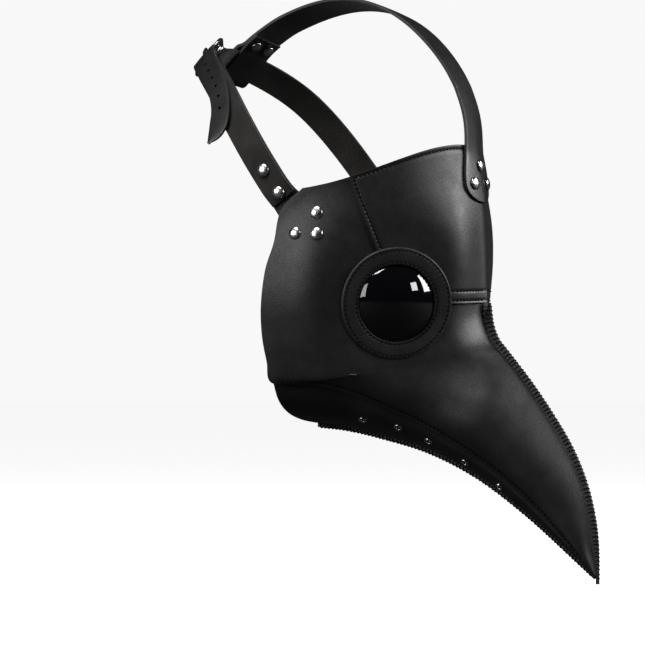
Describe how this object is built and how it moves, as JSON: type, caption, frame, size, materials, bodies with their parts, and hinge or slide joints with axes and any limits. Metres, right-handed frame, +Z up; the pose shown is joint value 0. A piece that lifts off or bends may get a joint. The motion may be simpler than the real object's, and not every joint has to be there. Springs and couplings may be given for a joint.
{
  "type": "plague doctor mask",
  "caption": "Leather beaked costume mask with domed dark lenses, metal vent eyelets under the beak and a riveted head harness with a buckle.",
  "frame": {"origin": "on the middle plane at eye level, in the face opening", "axes": "-Y is forward along the beak, +X is the wearer's left, +Z is up"},
  "size_m": [0.169, 0.2884, 0.3883],
  "materials": {
    "panel_leather": "smooth semi-matte black leather",
    "binding_leather": "raised stitched seam edge",
    "strap_leather": "smooth black strap leather with burnished edges",
    "lens_plastic": "glossy black dome",
    "polished_metal": "polished nickel"
  },
  "bodies": {
    "mask": {"brow_panel": "panel_leather", "crown_rivet_1": "polished_metal", "crown_rivet_2": "polished_metal", "crown_rivet_3": "polished_metal", "crown_strap": "strap_leather", "eye_ring_left": "panel_leather", "eye_ring_right": "panel_leather", "eyelet_left_1": "polished_metal", "eyelet_left_2": "polished_metal", "eyelet_left_3": "polished_metal", "eyelet_left_4": "polished_metal", "eyelet_left_5": "polished_metal", "eyelet_right_1": "polished_metal", "eyelet_right_2": "polished_metal", "eyelet_right_3": "polished_metal", "eyelet_right_4": "polished_metal", "eyelet_right_5": "polished_metal", "keel_binding": "binding_leather", "lens_left": "lens_plastic", "lens_right": "lens_plastic", "ridge_binding": "binding_leather", "root_rivet_left_1": "polished_metal", "root_rivet_left_2": "polished_metal", "root_rivet_left_3": "polished_metal", "root_rivet_right_1": "polished_metal", "root_rivet_right_2": "polished_metal", "root_rivet_right_3": "polished_metal", "side_panel_left": "panel_leather", "side_panel_right": "panel_leather", "underside_gusset_left": "panel_leather", "underside_gusset_right": "panel_leather"},
    "harness": {"left_strap": "strap_leather", "loop_rivet_1": "polished_metal", "loop_rivet_2": "polished_metal", "return_rivet_1": "polished_metal", "return_rivet_2": "polished_metal", "right_strap": "strap_leather"},
    "buckle": {"buckle_frame": "polished_metal"},
    "prong": {"buckle_prong": "polished_metal"}
  },
  "joints": [
    {"name": "harness_swing", "type": "hinge", "parent": "mask", "child": "harness", "pos_m": [0, -0.01, 0.064], "axis": [1, 0, 0], "range_deg": [-6, 22], "stiffness_Nm_per_rad": 0.8, "deforming": ["right_strap", "left_strap", "crown_strap"]},
    {"name": "buckle_tilt", "type": "hinge", "parent": "harness", "child": "buckle", "pos_m": [-0.02721, 0.07059, 0.1589], "axis": [0.0477, -0.6861, 0.726], "range_deg": [0, 12]},
    {"name": "prong_lift", "type": "hinge", "parent": "buckle", "child": "prong", "pos_m": [-0.02721, 0.07059, 0.1589], "axis": [0.0477, -0.6861, 0.726], "range_deg": [0, 22]}
  ]
}
